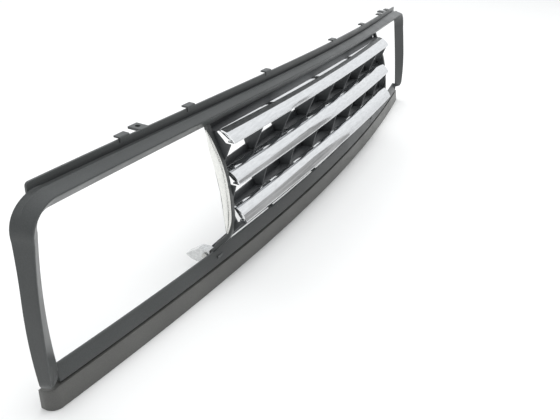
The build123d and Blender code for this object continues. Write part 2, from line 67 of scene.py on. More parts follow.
STRIP_HALF = STRIP_HIGH.x
STRIP_HEIGHT = STRIP_HIGH.z
STRIP_DEPTH = 18.0
STRIP_LEAN = 4.3                      # how far the strip's face leans back over its height
STRIP_INNER_LEAN = 0.9 * STRIP_LEAN
STRIP_CORNER = 14.0
STRIP_RADII = (0, 1.4, 0.8, 0, 0, 0, 0, 0)
CLOSING_GAP = 0.01                    # what is left of the strip's hollow where its ends close
WALL = 3.0
HALF_SPAN = 650.0                     # reference half-span that the plan curves are written for
LOWER_SAG = (STRIP_HIGH.y - STRIP_DEPTH) * (HALF_SPAN / STRIP_HALF) ** 2

HOOK_RISE = 2.5                       # how far the hooks stand above the flange
MIDDLE_HOOK_X = 28.0                  # off the middle, and the highest of the hooks
HOOK_X = (-480.0, -374.0, -205.0, MIDDLE_HOOK_X, 205.0, 374.0, 480.0)
HOOK_HALF_WIDTH = 8.0
HOOK_ROOT = 4.0
HOOK_REACH = 7.0
HOOK_THICK = 2.3
HOOK_SINK = 0.5                       # how far a hook's rear face lies inside the flange
HOOK_RADII = (0, 1.8, 0.6, 0.6, 0.5, 0)
TOP_DROP = 32.2
TOP_Z = FRAME_HIGH.z - HOOK_RISE + TOP_DROP * (MIDDLE_HOOK_X / HALF_SPAN) ** 2
UPPER_SETBACK = 20.0
UPPER_SAG = 83.4
UPPER_FLAT = 16.5

STILE_WIDTH = 21.0
FLARE = 5.0
STILE_FOOT_X = FRAME_HIGH.x - STILE_WIDTH - FLARE
STILE_LEAN = 18.0
CORNER_RADIUS = 20.0
LOWER_EDGE_Z = 46.6
LOWER_EDGE_BACK = 14.3
UPPER_EDGE_Z = 241.0
UPPER_EDGE_DROP = 30.5
SHUT_GAP = 2.0

RAIL_WIDTH = 17.0
RAIL_SPREAD = 1.0
RAIL_RISE = 15.0
RISE_SPREAD = 2.5
FOOT_RISE_LOSS = 7.0
STILE_MID_Z = 141.0
WALL_BACK = 1.0
STILE_BACK_GAIN = 20.0
RAIL_FACE_TILT = 5.3
RAIL_DEPTH = 17.0
STILE_END_Z = 37.0
EDGE_WALL = 1.2 * WALL                # wall at the opening's edge
CREASE_WALL = 1.5 * WALL              # wall behind the crease
INNER_INSET = 0.4                     # inside corner to crease, in walls; it is 1 on the lower rail
BEAD_FOOT = 0.60                      # shares of the outer wall from the crease to its rear edge
BEAD_CREST = (0.64, 0.70)
GROOVE_FLOOR = (0.74, 0.93)
BEAD_HEIGHT = 0.8
GROOVE_DEPTH = 1.6
GROOVE_FADE = 6.0                     # length over which bead and groove fade at the flange's ends
TOP_RAIL_ANGLE = 60.0                 # how far from straight up a section still belongs to the top rail
SURROUND_RADII = (0.9, 1.8, 0, 0, 0, 0, 0, 0.3, 0.3, 1.0, 0.9)

FLANGE_HALF = 601.0
FLANGE_HEIGHT = 14.0
FLANGE_THICK = 2.6
FLANGE_LAP = 0.325
FLANGE_ROUND = 4.0                    # radius of the flange's upper corners
FLANGE_END_STEPS = (0.0, 0.3, 1.0, 2.0, 3.0)  # distances from an end at which that corner is sampled
LUG_X = 450.0
LUG_HALF = 8.0
LUG_HOLE_R = 3.2
LUG_HOLE_BACK = 10.0

LATTICE_END_GAP = 0.2
UPRIGHT_X = LATTICE_HIGH.x + LATTICE_END_GAP  # inner side of the uprights
UPRIGHT_THICK = 7.0
# depth and height along the uprights' front edge downwards, then along their rear edge upwards
NOSE = [(43, 236), (30, 210), (15, 180), (4, 140), (-1, 100), (4, 76), (16, 60), (27, 45)]
NOSE_REAR = [(33, 45), (24, 62), (9, 79), (13, 100), (20, 140), (31, 178), (41, 214), (49, 236)]
BLOCK_FRONT = 21.0                    # block behind the lower rail that takes the bracket screw
BLOCK_REAR = 46.0
BLOCK_FOOT = 32.0
BLOCK_TOP = 40.0
BLOCK_WIDTH = 12.0

CHEEK_THICK = 2.0
CHEEK_EDGE = 0.8                      # thickness of a cheek along its two long edges
CHEEK_END_SLOPE = 6.0                 # the swell reaches its full height over a sixth of the length
# depth and height along a cheek's front and rear edges, which meet in a point at both ends
CHEEK_FRONT = [(43, 227), (30.5, 210), (15.8, 181), (5.4, 143), (1.2, 106), (6.5, 79.5)]
CHEEK_REAR = [(6.5, 79.5), (11.5, 99), (17.5, 136), (26.6, 168), (37.5, 200), (43, 227)]

BLADE_HALF = box_mm("top_blade")[1].x
BLADE_SAG = 11.0                      # plan sag of the blades at their ends
BLADE_DROOP = 4.5                     # how far the blade ends droop
BLADE_BULGE = 3.2
BLADE_WALL = 2.2
BLADE_TAIL = 11.0                     # depth of the wall along a blade's lower lip
BEAD_TOP = (0.9, 2.4)                 # where the outer face meets the lip's bead, from the lip
LIP_BEAD = ((0.2, 1.8), (0.0, 1.0), (0.6, 0.0))
INNER_TOP_BACK = 0.5                  # inner face's upper end, behind and below the rear edge
INNER_TOP_DROP = 1.4 * BLADE_WALL
INNER_LIP_BACK = 1.8 * BLADE_WALL     # inner face's lower end, behind the lip
CAP_GAP = 0.35
CAP_TOP_BACK = 0.6
CAP_BULGE = 0.8 * BLADE_BULGE
# where the cap's dome is sampled, and how far its outline is drawn in there
CAP_RINGS = ((-331.5, 1.6), (-331.2, 0.7), (-330.4, 0.15), (-329.0, 0.0))
PAD_X = (127.5, 297.5)
PAD_HALF = 8.0
PAD_FRONT = 1.9                       # front and rear of the pads behind the blade's rear edge
PAD_REAR = 4.3
PAD_TOP_GAP = 1.5                     # pad's top below the rear edge
PAD_FOOT_GAP = 2.0                    # pad's foot above the lip
PAD_HOLE_PLAY = 0.2
POST_R = 2.5
POST_SHARE = 0.57                     # place of the posts down the section
POST_TAIL = 8.0                       # how far a post reaches behind a blade's rear edge
POST_ROOT = 1.0                       # how far it starts in front of its place on the section
POST_TIP = 1.0                        # length and narrowing of its tapered tip
POST_TIP_TAPER = 0.8
BLADE_NAMES = ("top", "middle", "bottom")

RIB_PITCH = 85.0
RIB_THICK = 2.6
RIB_DROP = 2.6                        # how far a rib's front corner lies below a blade's rear edge
RIB_GAP = 0.4                         # gap between a blade's lip and the rib under it
RIB_BEHIND_TAIL = 1.0                 # gap between a blade's lower wall and the rib
RIB_UNDER_TAIL = 7.0                  # how far a rib reaches forward under that wall
RIB_INSET = 1.0                       # how far a rib's end lies inside the shelf that it meets
RIB_REAR_INSET = 0.5
SHELF_BEHIND_RAIL = 4.0               # gap between the lower rail's edge and the lowest shelf
SHELF_THICK = 2.4
SHELF_FRONT = 1.8                     # gap between a blade's rear edge and the shelf behind it
SHELF_STEP = 0.6                      # how far a shelf lies below that edge
SHELF_FALL = 3.0                      # how far a shelf drops towards its rear edge
UPSTAND = 9.0                         # height of a shelf's rear upstand
UPSTAND_LEAN = 2.0
TOP_CLEARANCE = 3.0                   # lattice top below the opening's upper edge
LATTICE_HALF = LATTICE_HIGH.x
# depth and height along the lattice's rear edge, downwards
REAR_LINE = [(46, 214), (33, 178), (22, 140), (15, 100), (11, 79), (26, 62), (36, 49)]
REAR_TOP = 47.0
REAR_FOOT = 36.0
LOWEST_SHELF_Z = 50.0
EAR_X = (0.0, 170.0)                  # places of the lattice's screw ears
EAR_HALF_WIDTH = 8.0
EAR_HOLE_R = 2.3
UPPER_EAR_RISE = 9.0                  # screw height above the opening's upper edge
UPPER_EAR_REACH = (15.0, 6.0)         # how far an ear reaches down and up from its screw
LOWER_EAR_Z = 39.0
LOWER_EAR_REACH = (6.0, 10.0)
BOSS_R = 4.0
BOSS_TIP_R = 3.9
BOSS_GAP = 0.1                        # between a boss and the ear screwed to it
UPPER_BOSS_START = 6.0                # in front of the upper plan curve
LOWER_BOSS_START = 12.0               # behind the lower plan curve
HOLE_POINTS = 32
TINY = 1e-6


def blade_datum(name):
    """Depth and height of a blade's rear upper edge at the middle, then of its section."""
    low, high = box_mm(name + "_blade")
    rear_y = high.y - POST_TAIL - BLADE_SAG * (PAD_X[-1] / BLADE_HALF) ** 2
    return rear_y, high.z, rear_y - low.y, high.z - low.z - BLADE_DROOP


BLADES = {name: blade_datum(name) for name in BLADE_NAMES}


# ---------------------------------------------------------------- shared curves
def lower_plan(x):
    """Depth of the lower plan curve, which the strip's foot follows."""
    return LOWER_SAG * (x / HALF_SPAN) ** 2


def upper_plan(x):
    """Depth of the upper plan curve, which the flange follows."""
    t = x / HALF_SPAN
    return UPPER_SETBACK + UPPER_SAG * t**2 - UPPER_FLAT * t**4


def face_depth(x, z):
    """Depth of the grille's face between the two curves."""
    share = z / TOP_Z
    return lower_plan(x) * (1 - share) + upper_plan(x) * share


def flange_top(x):
    return TOP_Z - TOP_DROP * (x / HALF_SPAN) ** 2


def opening_top(x):
    return UPPER_EDGE_Z - UPPER_EDGE_DROP * (x / HALF_SPAN) ** 2


def blade_edges(name, x):
    """Rear upper edge and front lower lip of a blade at x."""
    y, z, depth, height = BLADES[name]
    share = (x / BLADE_HALF) ** 2
    rear = (y + BLADE_SAG * share, z - BLADE_DROOP * share)
    return rear, (rear[0] - depth, rear[1] - height)


def post_height(name, x):
    """Height of a blade's posts."""
    return blade_edges(name, x)[0][1] - POST_SHARE * BLADES[name][3]


def steps(start, stop, count):
    return [start + (stop - start) * i / (count - 1) for i in range(count)]


def both_sides(places):
    return list(places) + [-x for x in places if x]


def smooth_line(points, per_span=6):
    """Catmull-Rom curve through the points."""
    ends = [2 * Vector(points[0]) - Vector(points[1])] + [Vector(p) for p in points]
    ends.append(2 * Vector(points[-1]) - Vector(points[-2]))
    line = []
    for p0, p1, p2, p3 in zip(ends, ends[1:], ends[2:], ends[3:]):
        for i in range(per_span):
            t = i / per_span
            line.append(0.5 * (2 * p1 + (p2 - p0) * t + (2 * p0 - 5 * p1 + 4 * p2 - p3) * t**2
                               + (3 * p1 - p0 - 3 * p2 + p3) * t**3))
    line.append(Vector(points[-1]))
    return [tuple(p) for p in line]


def arc(start, stop, bulge, count=10):
    """Shallow arc from start to stop that bows towards the front and up by bulge."""
    a, b = Vector(start), Vector(stop)
    along = (b - a).normalized()
    out = Vector((along.y, -along.x))
    if out.x > 0:
        out = -out
    return [tuple(a.lerp(b, t) + out * bulge * 4 * t * (1 - t)) for t in steps(0.0, 1.0, count)]


def rounded(outline, radii, count=4):
    """Closed outline with an arc of the given radius at each corner; 0 keeps a corner sharp."""
    result = []
    for i, (point, radius) in enumerate(zip(outline, radii)):
        if not radius:
            result.append(point)
            continue
        corner = Vector(point)
        before = (Vector(outline[i - 1]) - corner).normalized()
        after = (Vector(outline[(i + 1) % len(outline)]) - corner).normalized()
        half = before.angle(after) / 2
        centre = corner + (before + after).normalized() * radius / math.sin(half)
        start = corner + before * radius / math.tan(half) - centre
        stop = corner + after * radius / math.tan(half) - centre
        turn = math.atan2(start.x * stop.y - start.y * stop.x, start.dot(stop))
        for t in steps(0.0, 1.0, count):
            cos_t, sin_t = math.cos(turn * t), math.sin(turn * t)
            x, y = start.x * cos_t - start.y * sin_t, start.x * sin_t + start.y * cos_t
            result.append((centre.x + x, centre.y + y))
    return result


# ---------------------------------------------------------------- solids as (points, faces)
def tube(rings, closed=False):
    """Solid through rings of equal point count: a closed loop, or capped at both ends."""
    count = len(rings[0])
    points = [point for ring in rings for point in ring]
    faces = []
    for i in range(len(rings) - (not closed)):
        for j in range(count):
            k = (j + 1) % count
            here, there = i * count, (i + 1) % len(rings) * count
            faces.append((here + j, here + k, there + k, there + j))
    if not closed:
        last = (len(rings) - 1) * count
        faces.append(tuple(range(count)))
        faces.append(tuple(range(last + count - 1, last - 1, -1)))
    return points, faces


def beam(xs, section):
    """Solid through the YZ sections that section(x) gives at each x."""
    return tube([[(x, y, z) for y, z in section(x)] for x in xs])


def slab_x(outline, x0, x1):
    """Plate with a YZ outline, from x0 to x1."""
    return tube([[(x, y, z) for y, z in outline] for x in (x0, x1)])


def circle(radius, count=20):
    return [(radius * math.cos(2 * math.pi * i / count), radius * math.sin(2 * math.pi * i / count))
            for i in range(count)]


def turned_y(x, z, profile, count=20):
    """Round solid about an axis along Y; profile lists (depth, radius)."""
    return tube([[(x + a, y, z + b) for a, b in circle(radius, count)] for y, radius in profile])


def holed_plate(hole_r, half, low, high, start, stop, place):
    """Rectangular plate about a round hole, from start to stop along the hole's axis.

    It reaches half to the sides, low downwards and high upwards; place(a, b, along) gives a point.
    """
    hole = circle(hole_r, HOLE_POINTS)
    edge = []
    for a, b in circle(1.0, HOLE_POINTS):
        reach = min(half / max(abs(a), TINY), (high if b > 0 else low) / max(abs(b), TINY))
        edge.append((a * reach, b * reach))
    loops = ((edge, start), (edge, stop), (hole, stop), (hole, start))
    return tube([[place(a, b, along) for a, b in loop] for loop, along in loops], closed=True)


def mirrored(solid):
    """The solid's mirror image on the other side of the middle."""
    points, faces = solid
    return [(-x, y, z) for x, y, z in points], [tuple(reversed(face)) for face in faces]


def piece(name, solids, material, nodes, body="grille", bevel=0.0, segments=2):
    """Makes one visible object from solids and lets it stand for its CAD nodes."""
    mesh = bpy.data.meshes.new(name)
    points, faces = [], []
    for solid_points, solid_faces in solids:
        start = len(points)
        points += [(x * MM, y * MM, z * MM) for x, y, z in solid_points]
        faces += [tuple(start + i for i in face) for face in solid_faces]
    mesh.from_pydata(points, [], faces)
    shape = bmesh.new()
    shape.from_mesh(mesh)
    bmesh.ops.remove_doubles(shape, verts=shape.verts, dist=MERGE_DISTANCE)
    bmesh.ops.recalc_face_normals(shape, faces=shape.faces)
    if bevel:
        edges = [edge for edge in shape.edges
                 if edge.is_manifold and edge.calc_face_angle() > BEVEL_ANGLE]
        bmesh.ops.bevel(shape, geom=edges, offset=bevel * MM, segments=segments, profile=0.5,
                        affect="EDGES", clamp_overlap=True)
    shape.to_mesh(mesh)
    shape.free()
    mesh.polygons.foreach_set("use_smooth", [True] * len(mesh.polygons))
    mesh.set_sharp_from_angle(angle=SHARP_ANGLE)
    mesh.materials.append(material)
    obj = bpy.data.objects.new(name, mesh)
    bpy.context.scene.collection.objects.link(obj)
    weighted = obj.modifiers.new("weighted normals", "WEIGHTED_NORMAL")
    weighted.keep_sharp = True
    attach(obj, body)
    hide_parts(*nodes)
    return obj


# ---------------------------------------------------------------- materials
class Nodes:
    """Short names for the nodes of one material."""

    def __init__(self, name):
        self.material = bpy.data.materials.new(name)
        self.material.use_nodes = True
        self.tree = self.material.node_tree
        self.shader = self.tree.nodes["Principled BSDF"]
        self.place = self.add("ShaderNodeTexCoord").outputs["Object"]

    def add(self, kind, **settings):
        node = self.tree.nodes.new(kind)
        for key, value in settings.items():
            setattr(node, key, value)
        return node

    def link(self, source, target):
        self.tree.links.new(source, target)

    def noise(self, scale, detail=3.0, stretch=None, distortion=0.0):
        """Noise over object coordinates; scale is in cycles per metre."""
        node = self.add("ShaderNodeTexNoise")
        node.inputs["Scale"].default_value = scale
        node.inputs["Detail"].default_value = detail
        node.inputs["Distortion"].default_value = distortion
        place = self.place
        if stretch:
            mapping = self.add("ShaderNodeMapping")
            mapping.inputs["Scale"].default_value = stretch
            self.link(place, mapping.inputs["Vector"])
            place = mapping.outputs["Vector"]
        self.link(place, node.inputs["Vector"])
        return node.outputs["Fac"]

    def ramp(self, factor, stops):
        """Colour ramp; stops lists (position, grey or colour)."""
        node = self.add("ShaderNodeValToRGB")
        elements = node.color_ramp.elements
        while len(elements) < len(stops):
            elements.new(0.5)
        for element, (position, colour) in zip(elements, stops):
            if isinstance(colour, (int, float)):
                colour = (colour, colour, colour)
            element.position = position
            element.color = (*colour, 1.0)
        self.link(factor, node.inputs["Fac"])
        return node.outputs["Color"]

    def mix(self, factor, first, second, blend_type="MIX"):
        node = self.add("ShaderNodeMix", data_type="RGBA", blend_type=blend_type)
        for value, socket in ((factor, node.inputs[0]), (first, node.inputs[6]), (second, node.inputs[7])):
            if isinstance(value, bpy.types.NodeSocket):
                self.link(value, socket)
            elif isinstance(value, tuple):
                socket.default_value = (*value, 1.0)
            else:
                socket.default_value = value
        return node.outputs[2]

    def edge_mask(self, radius_mm, low, high):
        """White along edges: where a rounded normal leaves the true one."""
        bevel = self.add("ShaderNodeBevel", samples=4)
        bevel.inputs["Radius"].default_value = radius_mm * MM
        geometry = self.add("ShaderNodeNewGeometry")
        dot = self.add("ShaderNodeVectorMath", operation="DOT_PRODUCT")
        self.link(bevel.outputs["Normal"], dot.inputs[0])
        self.link(geometry.outputs["Normal"], dot.inputs[1])
        return self.ramp(dot.outputs["Value"], [(low, 1.0), (high, 0.0)])

    def bump(self, height, distance_mm, strength=1.0, normal=None):
        node = self.add("ShaderNodeBump")
        node.inputs["Distance"].default_value = distance_mm * MM
        node.inputs["Strength"].default_value = strength
        self.link(height, node.inputs["Height"])
        if normal is not None:
            self.link(normal, node.inputs["Normal"])
        return node.outputs["Normal"]

    def set(self, name, value):
        socket = self.shader.inputs[name]
        if isinstance(value, bpy.types.NodeSocket):
            self.link(value, socket)
        elif isinstance(value, tuple):
            socket.default_value = (*value, 1.0)
        else:
            socket.default_value = value


def moulded_plastic(name, shade, gloss=0.42, grain=0.02):
    """Satin moulded plastic: fine grain, slow shade variation, and a painted highlight that makes the edges
    a little lighter.
    """
    nodes = Nodes(name)
    dark = tuple(0.86 * c for c in shade)
    light = tuple(1.16 * c for c in shade)
    mottled = nodes.mix(nodes.ramp(nodes.noise(9.0, 4.0), [(0.3, 0.0), (0.7, 1.0)]), dark, light)
    flecks = nodes.ramp(nodes.noise(900.0, 2.0), [(0.35, 0.9), (0.65, 1.1)])
    colour = nodes.mix(1.0, mottled, flecks, "MULTIPLY")
    # painted highlight: the colour along the edges is mixed towards a lighter copy of the shade
    painted_edge_highlight = tuple(min(1.0, 1.7 * c) for c in shade)
    colour = nodes.mix(nodes.edge_mask(0.7, 0.9, 1.0), colour, painted_edge_highlight)
    nodes.set("Base Color", colour)
    rough = nodes.ramp(nodes.noise(35.0, 5.0), [(0.25, gloss - 0.05), (0.75, gloss + 0.07)])
    nodes.set("Roughness", rough)
    nodes.set("Specular IOR Level", 0.55)
    fine = nodes.bump(nodes.noise(1500.0, 3.0), grain, 0.6)
    nodes.set("Normal", nodes.bump(nodes.noise(45.0, 2.0), 0.12, 0.25, fine))
    return nodes.material


def chrome(name, tint=(0.86, 0.87, 0.88), rough=0.05, wave=0.05):
    """Chrome plate on plastic: near mirror, with faint waviness and a thin polishing haze."""
    nodes = Nodes(name)
    haze = nodes.ramp(nodes.noise(60.0, 6.0, (1.0, 5.0, 5.0)), [(0.35, 0.0), (0.75, 1.0)])
    nodes.set("Base Color", nodes.mix(haze, tint, tuple(0.88 * c for c in tint)))
    nodes.set("Metallic", 1.0)
    smear = nodes.ramp(nodes.noise(140.0, 4.0, (0.4, 3.0, 3.0)), [(0.4, rough), (0.75, rough + 0.09)])
    nodes.set("Roughness", smear)
    ripple = nodes.bump(nodes.noise(28.0, 2.0, (0.35, 2.0, 2.0), 0.6), wave * 6.0, 0.3)
    nodes.set("Normal", nodes.bump(nodes.noise(1200.0, 2.0), 0.002, 0.2, ripple))
    return nodes.material


def plated_steel(name, tint=(0.62, 0.62, 0.6), rough=0.28):
    """Zinc-plated pressed steel: drawn streaks, small cloudy patches, and a painted highlight that makes the
    edges brighter.
    """
    nodes = Nodes(name)
    clouds = nodes.ramp(nodes.noise(220.0, 5.0), [(0.3, 0.0), (0.7, 1.0)])
    colour = nodes.mix(clouds, tuple(0.78 * c for c in tint), tint)
    # painted highlight: the colour along the edges is mixed towards a light grey
    colour = nodes.mix(nodes.edge_mask(0.4, 0.9, 1.0), colour, (0.85, 0.85, 0.84))
    nodes.set("Base Color", colour)
    nodes.set("Metallic", 1.0)
    streaks = nodes.noise(900.0, 3.0, (1.0, 0.08, 1.0))
    nodes.set("Roughness", nodes.ramp(streaks, [(0.3, rough), (0.7, rough + 0.16)]))
    nodes.set("Normal", nodes.bump(streaks, 0.01, 0.4))
    return nodes.material


FRAME_PLASTIC = moulded_plastic("satin_frame_plastic", (0.058, 0.062, 0.062), gloss=0.36)
STRIP_PLASTIC = moulded_plastic("satin_strip_plastic", (0.098, 0.098, 0.092), gloss=0.38)
LATTICE_PLASTIC = moulded_plastic("matt_lattice_plastic", (0.06, 0.064, 0.067), gloss=0.45, grain=0.03)
BLADE_CHROME = chrome("blade_chrome")
CAP_CHROME = chrome("cap_chrome", (0.82, 0.84, 0.84), rough=0.08)
CHEEK_CHROME = chrome("cheek_chrome", (0.83, 0.83, 0.8), rough=0.16, wave=0.03)
BRACKET_STEEL = plated_steel("bracket_steel", (0.72, 0.73, 0.73), rough=0.18)
FASTENER_STEEL = plated_steel("fastener_steel")
CLIP_STEEL = plated_steel("clip_spring_steel", (0.42, 0.42, 0.43), rough=0.3)


# ---------------------------------------------------------------- frame surround
def bar_size(x, z, angle):
    """Depth of the opening's edge, then width, rise, flare and back of the section."""
    ends = (x / STILE_FOOT_X) ** 2
    turn = min(1.0, abs(angle - 90.0) / 90.0)
    depth = face_depth(x, z)
    width = RAIL_WIDTH + ends * (RAIL_SPREAD + (STILE_WIDTH - RAIL_WIDTH - RAIL_SPREAD) * turn)
    low = max(0.0, STILE_MID_Z - z) / (STILE_MID_Z - LOWER_EDGE_Z)
    rise = RAIL_RISE + RISE_SPREAD * ends - FOOT_RISE_LOSS * low**2
    rail_back = upper_plan(x) - FLANGE_LAP - depth
    high = max(0.0, z - STILE_MID_Z) / (UPPER_EDGE_Z - STILE_MID_Z)
    stile_back = WALL_BACK + STILE_BACK_GAIN * high**2
    back = stile_back + (rail_back - stile_back) * (1.0 - turn**2)
    return depth, width, rise, FLARE, back


def rail_size(x):
    """The same sizes where the surround meets the lower rail."""
    depth = lower_plan(x) + LOWER_EDGE_BACK
    width = LOWER_EDGE_Z - STRIP_HEIGHT - SHUT_GAP
    rise = LOWER_EDGE_BACK - RAIL_FACE_TILT
    return depth, width, rise, 0.0, RAIL_DEPTH - LOWER_EDGE_BACK


def surround_ring(x, z, angle, foot):
    """Section of the bar round the openings; foot turns it into the lower rail."""
    sizes = zip(bar_size(x, z, angle), rail_size(x))
    depth, width, rise, flare, back = [a + (b - a) * foot for a, b in sizes]
    if 0.0 < foot < 1.0:
        reach = (LOWER_EDGE_Z - STILE_END_Z) / abs(math.sin(math.radians(angle)))
        shrink = min(1.0, reach / (width + flare))
        width *= shrink
        flare *= shrink
    inner = width - WALL * (INNER_INSET + (1.0 - INNER_INSET) * foot)
    on_top = abs(angle - 90.0) < TOP_RAIL_ANGLE
    groove = min(1.0, max(0.0, (FLANGE_HALF - abs(x)) / GROOVE_FADE)) if on_top else 0.0

    def on_wall(share, lift=0.0):
        """Point on the outer wall, from the crease (0) to its rear edge (1)."""
        return width + flare * share + lift * groove, rise - (back + rise) * share

    outline = [
        (0.0, 0.0), on_wall(0.0), on_wall(BEAD_FOOT),
        on_wall(BEAD_CREST[0], BEAD_HEIGHT), on_wall(BEAD_CREST[1], BEAD_HEIGHT),
        on_wall(GROOVE_FLOOR[0], -GROOVE_DEPTH), on_wall(GROOVE_FLOOR[1], -GROOVE_DEPTH), on_wall(1.0),
        (width + flare - WALL, -back), (inner, rise - CREASE_WALL), (0.0, -EDGE_WALL),
    ]
    corners = rounded(outline, SURROUND_RADII)
    out_x, out_z = math.cos(math.radians(angle)), math.sin(math.radians(angle))
    return [(x + u * out_x, depth - w, z + u * out_z) for u, w in corners]


def surround_stations():
    """Place, outward angle and foot share, once round from the lower rail's middle."""
    corner_x = STILE_FOOT_X - STILE_LEAN - CORNER_RADIUS
    corner_z = opening_top(corner_x) - CORNER_RADIUS
    left = [(x, LOWER_EDGE_Z, 270.0, 1.0) for x in steps(0.0, -STILE_FOOT_X, count=60)]
    left += [(-STILE_FOOT_X, LOWER_EDGE_Z, 270.0 - 90.0 * t, 1.0 - t) for t in steps(0.08, 1.0, count=12)]
    for share in steps(0.04, 1.0, count=20):
        x = STILE_FOOT_X - STILE_LEAN * share**2
        left.append((-x, LOWER_EDGE_Z + (corner_z - LOWER_EDGE_Z) * share, 180.0, 0.0))
    for angle in steps(175.0, 95.0, count=17):
        x = -corner_x + CORNER_RADIUS * math.cos(math.radians(angle))
        left.append((x, corner_z + CORNER_RADIUS * math.sin(math.radians(angle)), angle, 0.0))
    left += [(x, opening_top(x), 90.0, 0.0) for x in steps(-corner_x, 0.0, count=50)]
    return left + [(-x, z, 180.0 - angle, foot) for x, z, angle, foot in reversed(left[1:-1])]


def surround():
    """Closed loop round both openings and the centre, lower rail included."""
    return tube([surround_ring(*station) for station in surround_stations()], closed=True)


def flange_section(x):
    """Upright strip behind the top rail, with rounded upper corners at its ends."""
    rear = upper_plan(x) + WALL_BACK
    past = max(0.0, abs(x) - (FLANGE_HALF - FLANGE_ROUND))
    top = flange_top(x) - (FLANGE_ROUND - math.sqrt(max(0.0, FLANGE_ROUND**2 - past**2)))
    foot = flange_top(x) - FLANGE_HEIGHT
    return [(rear - FLANGE_THICK, top), (rear - FLANGE_THICK, foot), (rear, foot), (rear, top)]


def flange():
    ends = [FLANGE_HALF - step for step in FLANGE_END_STEPS]
    middle = steps(-FLANGE_HALF + FLANGE_ROUND, FLANGE_HALF - FLANGE_ROUND, count=90)
    return beam([-x for x in ends] + middle + list(reversed(ends)), flange_section)


def hook(x):
    """Hook that stands on the flange and bends back."""
    y = upper_plan(x) + WALL_BACK - HOOK_SINK
    foot = flange_top(x) - HOOK_ROOT
    top = flange_top(x) + HOOK_RISE
    outline = [
        (y - HOOK_THICK, foot), (y - HOOK_THICK, top), (y + HOOK_REACH, top),
        (y + HOOK_REACH, top - HOOK_THICK), (y, top - HOOK_THICK), (y, foot),
    ]
    return slab_x(rounded(outline, HOOK_RADII), x - HOOK_HALF_WIDTH, x + HOOK_HALF_WIDTH)


def screw_lug(x):
    """Flat lug behind the flange with a vertical screw hole."""
    hole_y = upper_plan(x) - WALL_BACK + LUG_HOLE_BACK
    low = flange_top(x) - WALL
    return holed_plate(LUG_HOLE_R, LUG_HALF, LUG_HOLE_BACK, LUG_HALF, low, low + WALL,
                       lambda a, b, z: (x + a, hole_y + b, z))


def upright():
    """Left upright: a plate with a bowed front edge."""
    outline = smooth_line(NOSE) + [(float(y), float(z)) for y, z in NOSE_REAR]
    return slab_x(outline, -UPRIGHT_X - UPRIGHT_THICK, -UPRIGHT_X)


def bosses():
    """Round bosses in front of the lattice's screw ears."""
    for x in both_sides(EAR_X):
        for z, front, ear_y in (
            (opening_top(x) + UPPER_EAR_RISE, upper_plan(x) - UPPER_BOSS_START, REAR_TOP),
            (LOWER_EAR_Z, lower_plan(x) + LOWER_BOSS_START, REAR_FOOT),
        ):
            yield turned_y(x, z, [(front, BOSS_R), (ear_y - SHELF_THICK - BOSS_GAP, BOSS_TIP_R)])


def bracket_block():
    """Block behind the lower rail that the left bracket is screwed to."""
    outline = [
        (BLOCK_FRONT, BLOCK_FOOT), (BLOCK_REAR, BLOCK_FOOT),
        (BLOCK_REAR, BLOCK_TOP), (BLOCK_FRONT, BLOCK_TOP),
    ]
    outer = -UPRIGHT_X - UPRIGHT_THICK
    return slab_x(outline, outer, outer + BLOCK_WIDTH)


def build_frame():
    def add(name, solids, bevel=0.0, segments=2):
        piece(name, solids, FRAME_PLASTIC, ["main_frame"],
              bevel=bevel, segments=segments)

    add("frame_surround", [surround()])
    add("frame_top_flange", [flange()], bevel=0.5)
    add("frame_hooks", [hook(x) for x in HOOK_X], bevel=0.4)
    add("frame_screw_lugs", [screw_lug(x) for x in (-LUG_X, LUG_X)], bevel=0.4)
    add("frame_left_upright", [upright()], bevel=1.1, segments=3)
    add("frame_right_upright", [mirrored(upright())], bevel=1.1, segments=3)
    add("frame_bracket_blocks", [bracket_block(), mirrored(bracket_block())], bevel=0.5)
    add("frame_screw_bosses", list(bosses()), bevel=0.3)


# ---------------------------------------------------------------- lower trim strip
def strip_section(x):
    """C section open to the rear; at the ends it closes and its front follows the corner arc."""
    bend = STRIP_HALF - STRIP_CORNER
    past = min(STRIP_CORNER, max(0.0, abs(x) - bend))
    drawn = STRIP_CORNER - math.sqrt(max(0.0, STRIP_CORNER**2 - past**2))
    front = lower_plan(min(abs(x), bend)) + drawn
    rear = lower_plan(x) + STRIP_DEPTH
    hollow = abs(x) < STRIP_HALF - WALL
    inner = front + WALL + (0.0 if hollow else rear - front - WALL - CLOSING_GAP)
    inner_lean = STRIP_INNER_LEAN if hollow else 0.0
    top = STRIP_HEIGHT
    outline = [
        (rear, top), (front + STRIP_LEAN, top), (front, 0.0), (rear, 0.0),
        (rear, WALL), (inner, WALL), (inner + inner_lean, top - WALL), (rear, top - WALL),
    ]
    return rounded(outline, STRIP_RADII)


def build_strip():
    bend = STRIP_HALF - STRIP_CORNER
    inner_end = STRIP_HALF - WALL
    turn = [bend + STRIP_CORNER * math.sin(math.radians(angle)) for angle in range(10, 90, 8)]
    turn += [inner_end - CLOSING_GAP, inner_end + CLOSING_GAP, STRIP_HALF - 2 * CLOSING_GAP]
    half = sorted(turn)
    xs = [-x for x in reversed(half)] + steps(-bend, bend, count=120) + half
    piece("trim_strip_shell", [beam(xs, strip_section)], STRIP_PLASTIC, ["lower_trim_strip"],
          body="trim")


# ---------------------------------------------------------------- chrome blades
def blade_section(name, x):
    """Bowed shell from the rear edge down to a beaded lip, with a wall running back along the lip."""
    rear, lip = blade_edges(name, x)
    outer = arc(rear, (lip[0] + BEAD_TOP[0], lip[1] + BEAD_TOP[1]), BLADE_BULGE)
    bead = [(lip[0] + back, lip[1] + up) for back, up in LIP_BEAD]
    inner = arc((rear[0] + INNER_TOP_BACK, rear[1] - INNER_TOP_DROP),
                (lip[0] + INNER_LIP_BACK, lip[1] + BLADE_WALL), BLADE_BULGE)
    tail = [(lip[0] + BLADE_TAIL, lip[1]), (lip[0] + BLADE_TAIL, lip[1] + BLADE_WALL)]
    return outer + bead + tail + list(reversed(inner))


